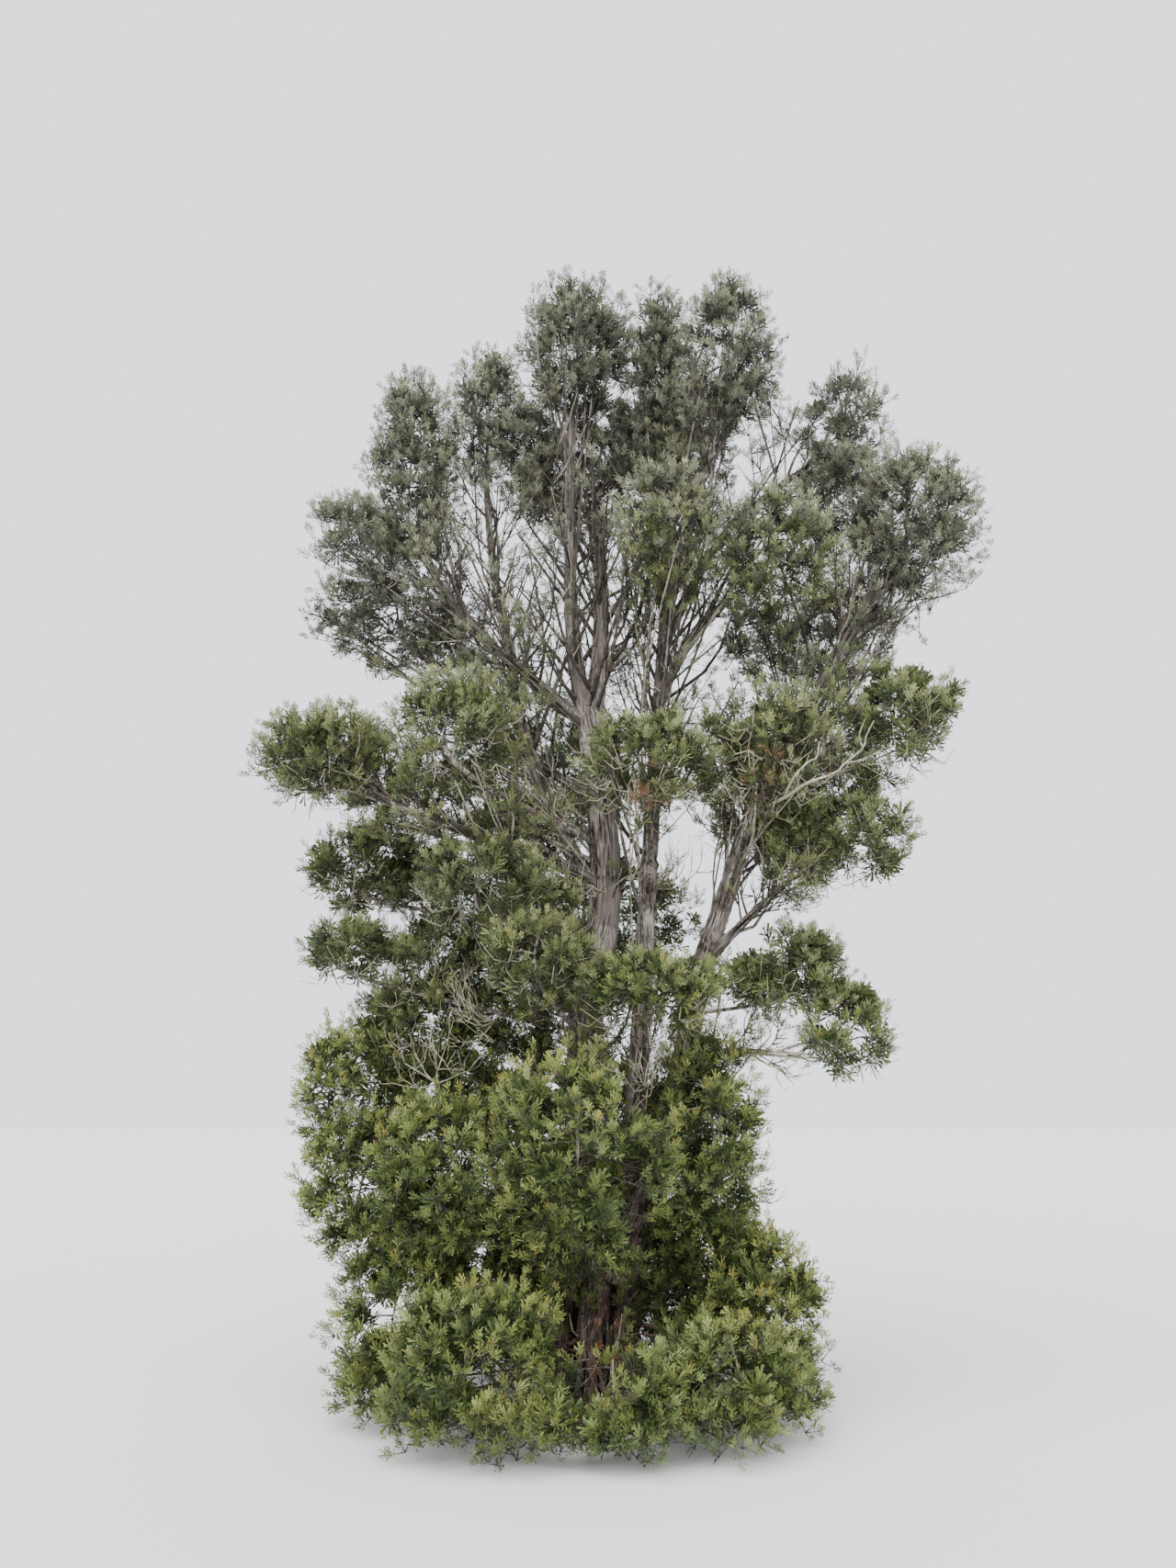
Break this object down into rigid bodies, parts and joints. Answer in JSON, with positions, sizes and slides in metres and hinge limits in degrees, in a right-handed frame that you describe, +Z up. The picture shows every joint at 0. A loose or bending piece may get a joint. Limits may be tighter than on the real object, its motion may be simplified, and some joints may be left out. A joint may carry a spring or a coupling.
{
  "type": "incense cedar tree",
  "caption": "Evergreen conifer with a short fluted trunk forking at the ground into leaning stems, a dense skirt of flat sprays to the ground and an open feathery top.",
  "frame": {"origin": "middle of the flat cut under the trunk, at ground level", "axes": "+Z up along the tree's height, +X to the right as seen from the front, the front faces -Y"},
  "size_m": [4.4006, 2.7449, 6.9847],
  "materials": {
    "bark": "matt shaggy bark in long strips, reddish brown at the foot",
    "pale_bark": "matt pale grey bark of the boughs",
    "foliage_low": "matt olive green sprays with yellowish tips",
    "foliage_high": "matt grey olive sprays",
    "foliage_shade": "matt deep green sprays"
  },
  "bodies": {
    "root": {"trunk": "bark", "stem_left": "bark", "stem_middle": "bark", "stem_right": "bark", "stem_left_west": "bark", "stem_left_east": "bark", "stem_far_left": "pale_bark", "bough_low_right": "pale_bark", "bough_right_elbow": "pale_bark", "bough_right_pale": "pale_bark", "bough_far_left": "pale_bark", "bough_left_high": "pale_bark", "bough_left_back": "pale_bark", "bough_right_sky": "pale_bark", "bough_right_high": "pale_bark", "skirt_left": "foliage_low", "skirt_front_left": "foliage_low", "skirt_front": "foliage_low", "skirt_front_right": "foliage_low", "skirt_right": "foliage_low", "skirt_back_right": "foliage_shade", "skirt_back_left": "foliage_shade", "spire_left": "foliage_low", "shoulder_left": "foliage_low", "shoulder_front_left": "foliage_low", "dome_front": "foliage_low", "shoulder_right": "foliage_low", "shoulder_back": "foliage_shade", "lobe_front": "foliage_low", "lobe_front_right": "foliage_low", "lobe_left_low": "foliage_low", "lobe_left_shelf": "foliage_low", "lobe_left_front": "foliage_high", "lobe_left_hanging": "foliage_high", "lobe_right_low": "foliage_low", "lobe_right_tip": "foliage_low", "lobe_right_shelf": "foliage_high", "lobe_back": "foliage_shade", "lobe_far_left": "foliage_high", "dome_left": "foliage_high", "lobe_middle": "foliage_high", "lobe_right_inner": "foliage_high", "fan_right": "foliage_high", "crown_back_low": "foliage_shade", "crown_back_right": "foliage_shade", "crown_left_shade": "foliage_shade", "sprays_left": "foliage_high", "plume_left": "foliage_high", "plume_inner_left": "foliage_shade", "crown_top_left": "foliage_high", "crown_top_low": "foliage_shade", "plume_middle": "foliage_high", "plume_right_top": "foliage_high", "crown_back_high": "foliage_shade", "lobe_front_high": "foliage_high", "lobe_right_high": "foliage_high", "plume_right_sky": "foliage_shade", "crown_right": "foliage_high", "crown_right_low": "foliage_shade"}
  },
  "joints": []
}
